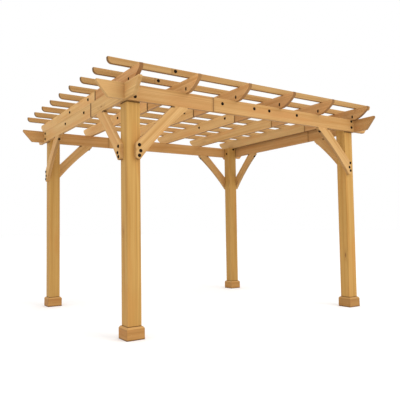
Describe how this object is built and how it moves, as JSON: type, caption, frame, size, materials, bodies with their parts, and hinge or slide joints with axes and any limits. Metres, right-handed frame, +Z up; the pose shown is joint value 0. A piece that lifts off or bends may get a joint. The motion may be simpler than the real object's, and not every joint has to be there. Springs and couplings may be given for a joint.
{
  "type": "wooden pergola",
  "caption": "Free-standing open garden pergola of honey-coloured cedar: square posts in base collars, lapped beams with corner braces, and rafters that carry cross slats.",
  "frame": {"origin": "on the ground, in the middle of the rectangle of posts", "axes": "+X along the front to the right, +Y to the back, +Z up; the front is the long side that faces -Y"},
  "size_m": [3.658, 3.145, 2.474],
  "materials": {
    "post_timber": "oiled",
    "base_boards": "oiled",
    "beam_boards": "oiled",
    "brace_boards": "oiled",
    "rafter_boards": "oiled",
    "slat_boards": "oiled",
    "bolt_black": "black coated",
    "screw_brass": "yellow passivated"
  },
  "bodies": {
    "root": {"base_back_left": "base_boards", "base_back_right": "base_boards", "base_front_left": "base_boards", "base_front_right": "base_boards", "beam_back_left": "beam_boards", "beam_back_right": "beam_boards", "beam_front_left": "beam_boards", "beam_front_right": "beam_boards", "beam_left_back": "beam_boards", "beam_left_front": "beam_boards", "beam_right_back": "beam_boards", "beam_right_front": "beam_boards", "brace_back_left": "brace_boards", "brace_back_right": "brace_boards", "brace_front_left": "brace_boards", "brace_front_right": "brace_boards", "brace_left_back": "brace_boards", "brace_left_front": "brace_boards", "brace_right_back": "brace_boards", "brace_right_front": "brace_boards", "post_back_left": "post_timber", "post_back_right": "post_timber", "post_front_left": "post_timber", "post_front_right": "post_timber", "rafter_1_back": "rafter_boards", "rafter_1_front": "rafter_boards", "rafter_2_back": "rafter_boards", "rafter_2_front": "rafter_boards", "rafter_3_back": "rafter_boards", "rafter_3_front": "rafter_boards", "rafter_4_back": "rafter_boards", "rafter_4_front": "rafter_boards", "rafter_5_back": "rafter_boards", "rafter_5_front": "rafter_boards", "rafter_6_back": "rafter_boards", "rafter_6_front": "rafter_boards", "slat_1": "slat_boards", "slat_2": "slat_boards", "slat_3": "slat_boards", "slat_4": "slat_boards", "slat_5": "slat_boards", "slat_6": "slat_boards", "slat_7": "slat_boards", "slat_8": "slat_boards", "slat_9": "slat_boards", "slat_ends": "slat_boards"}
  },
  "joints": []
}
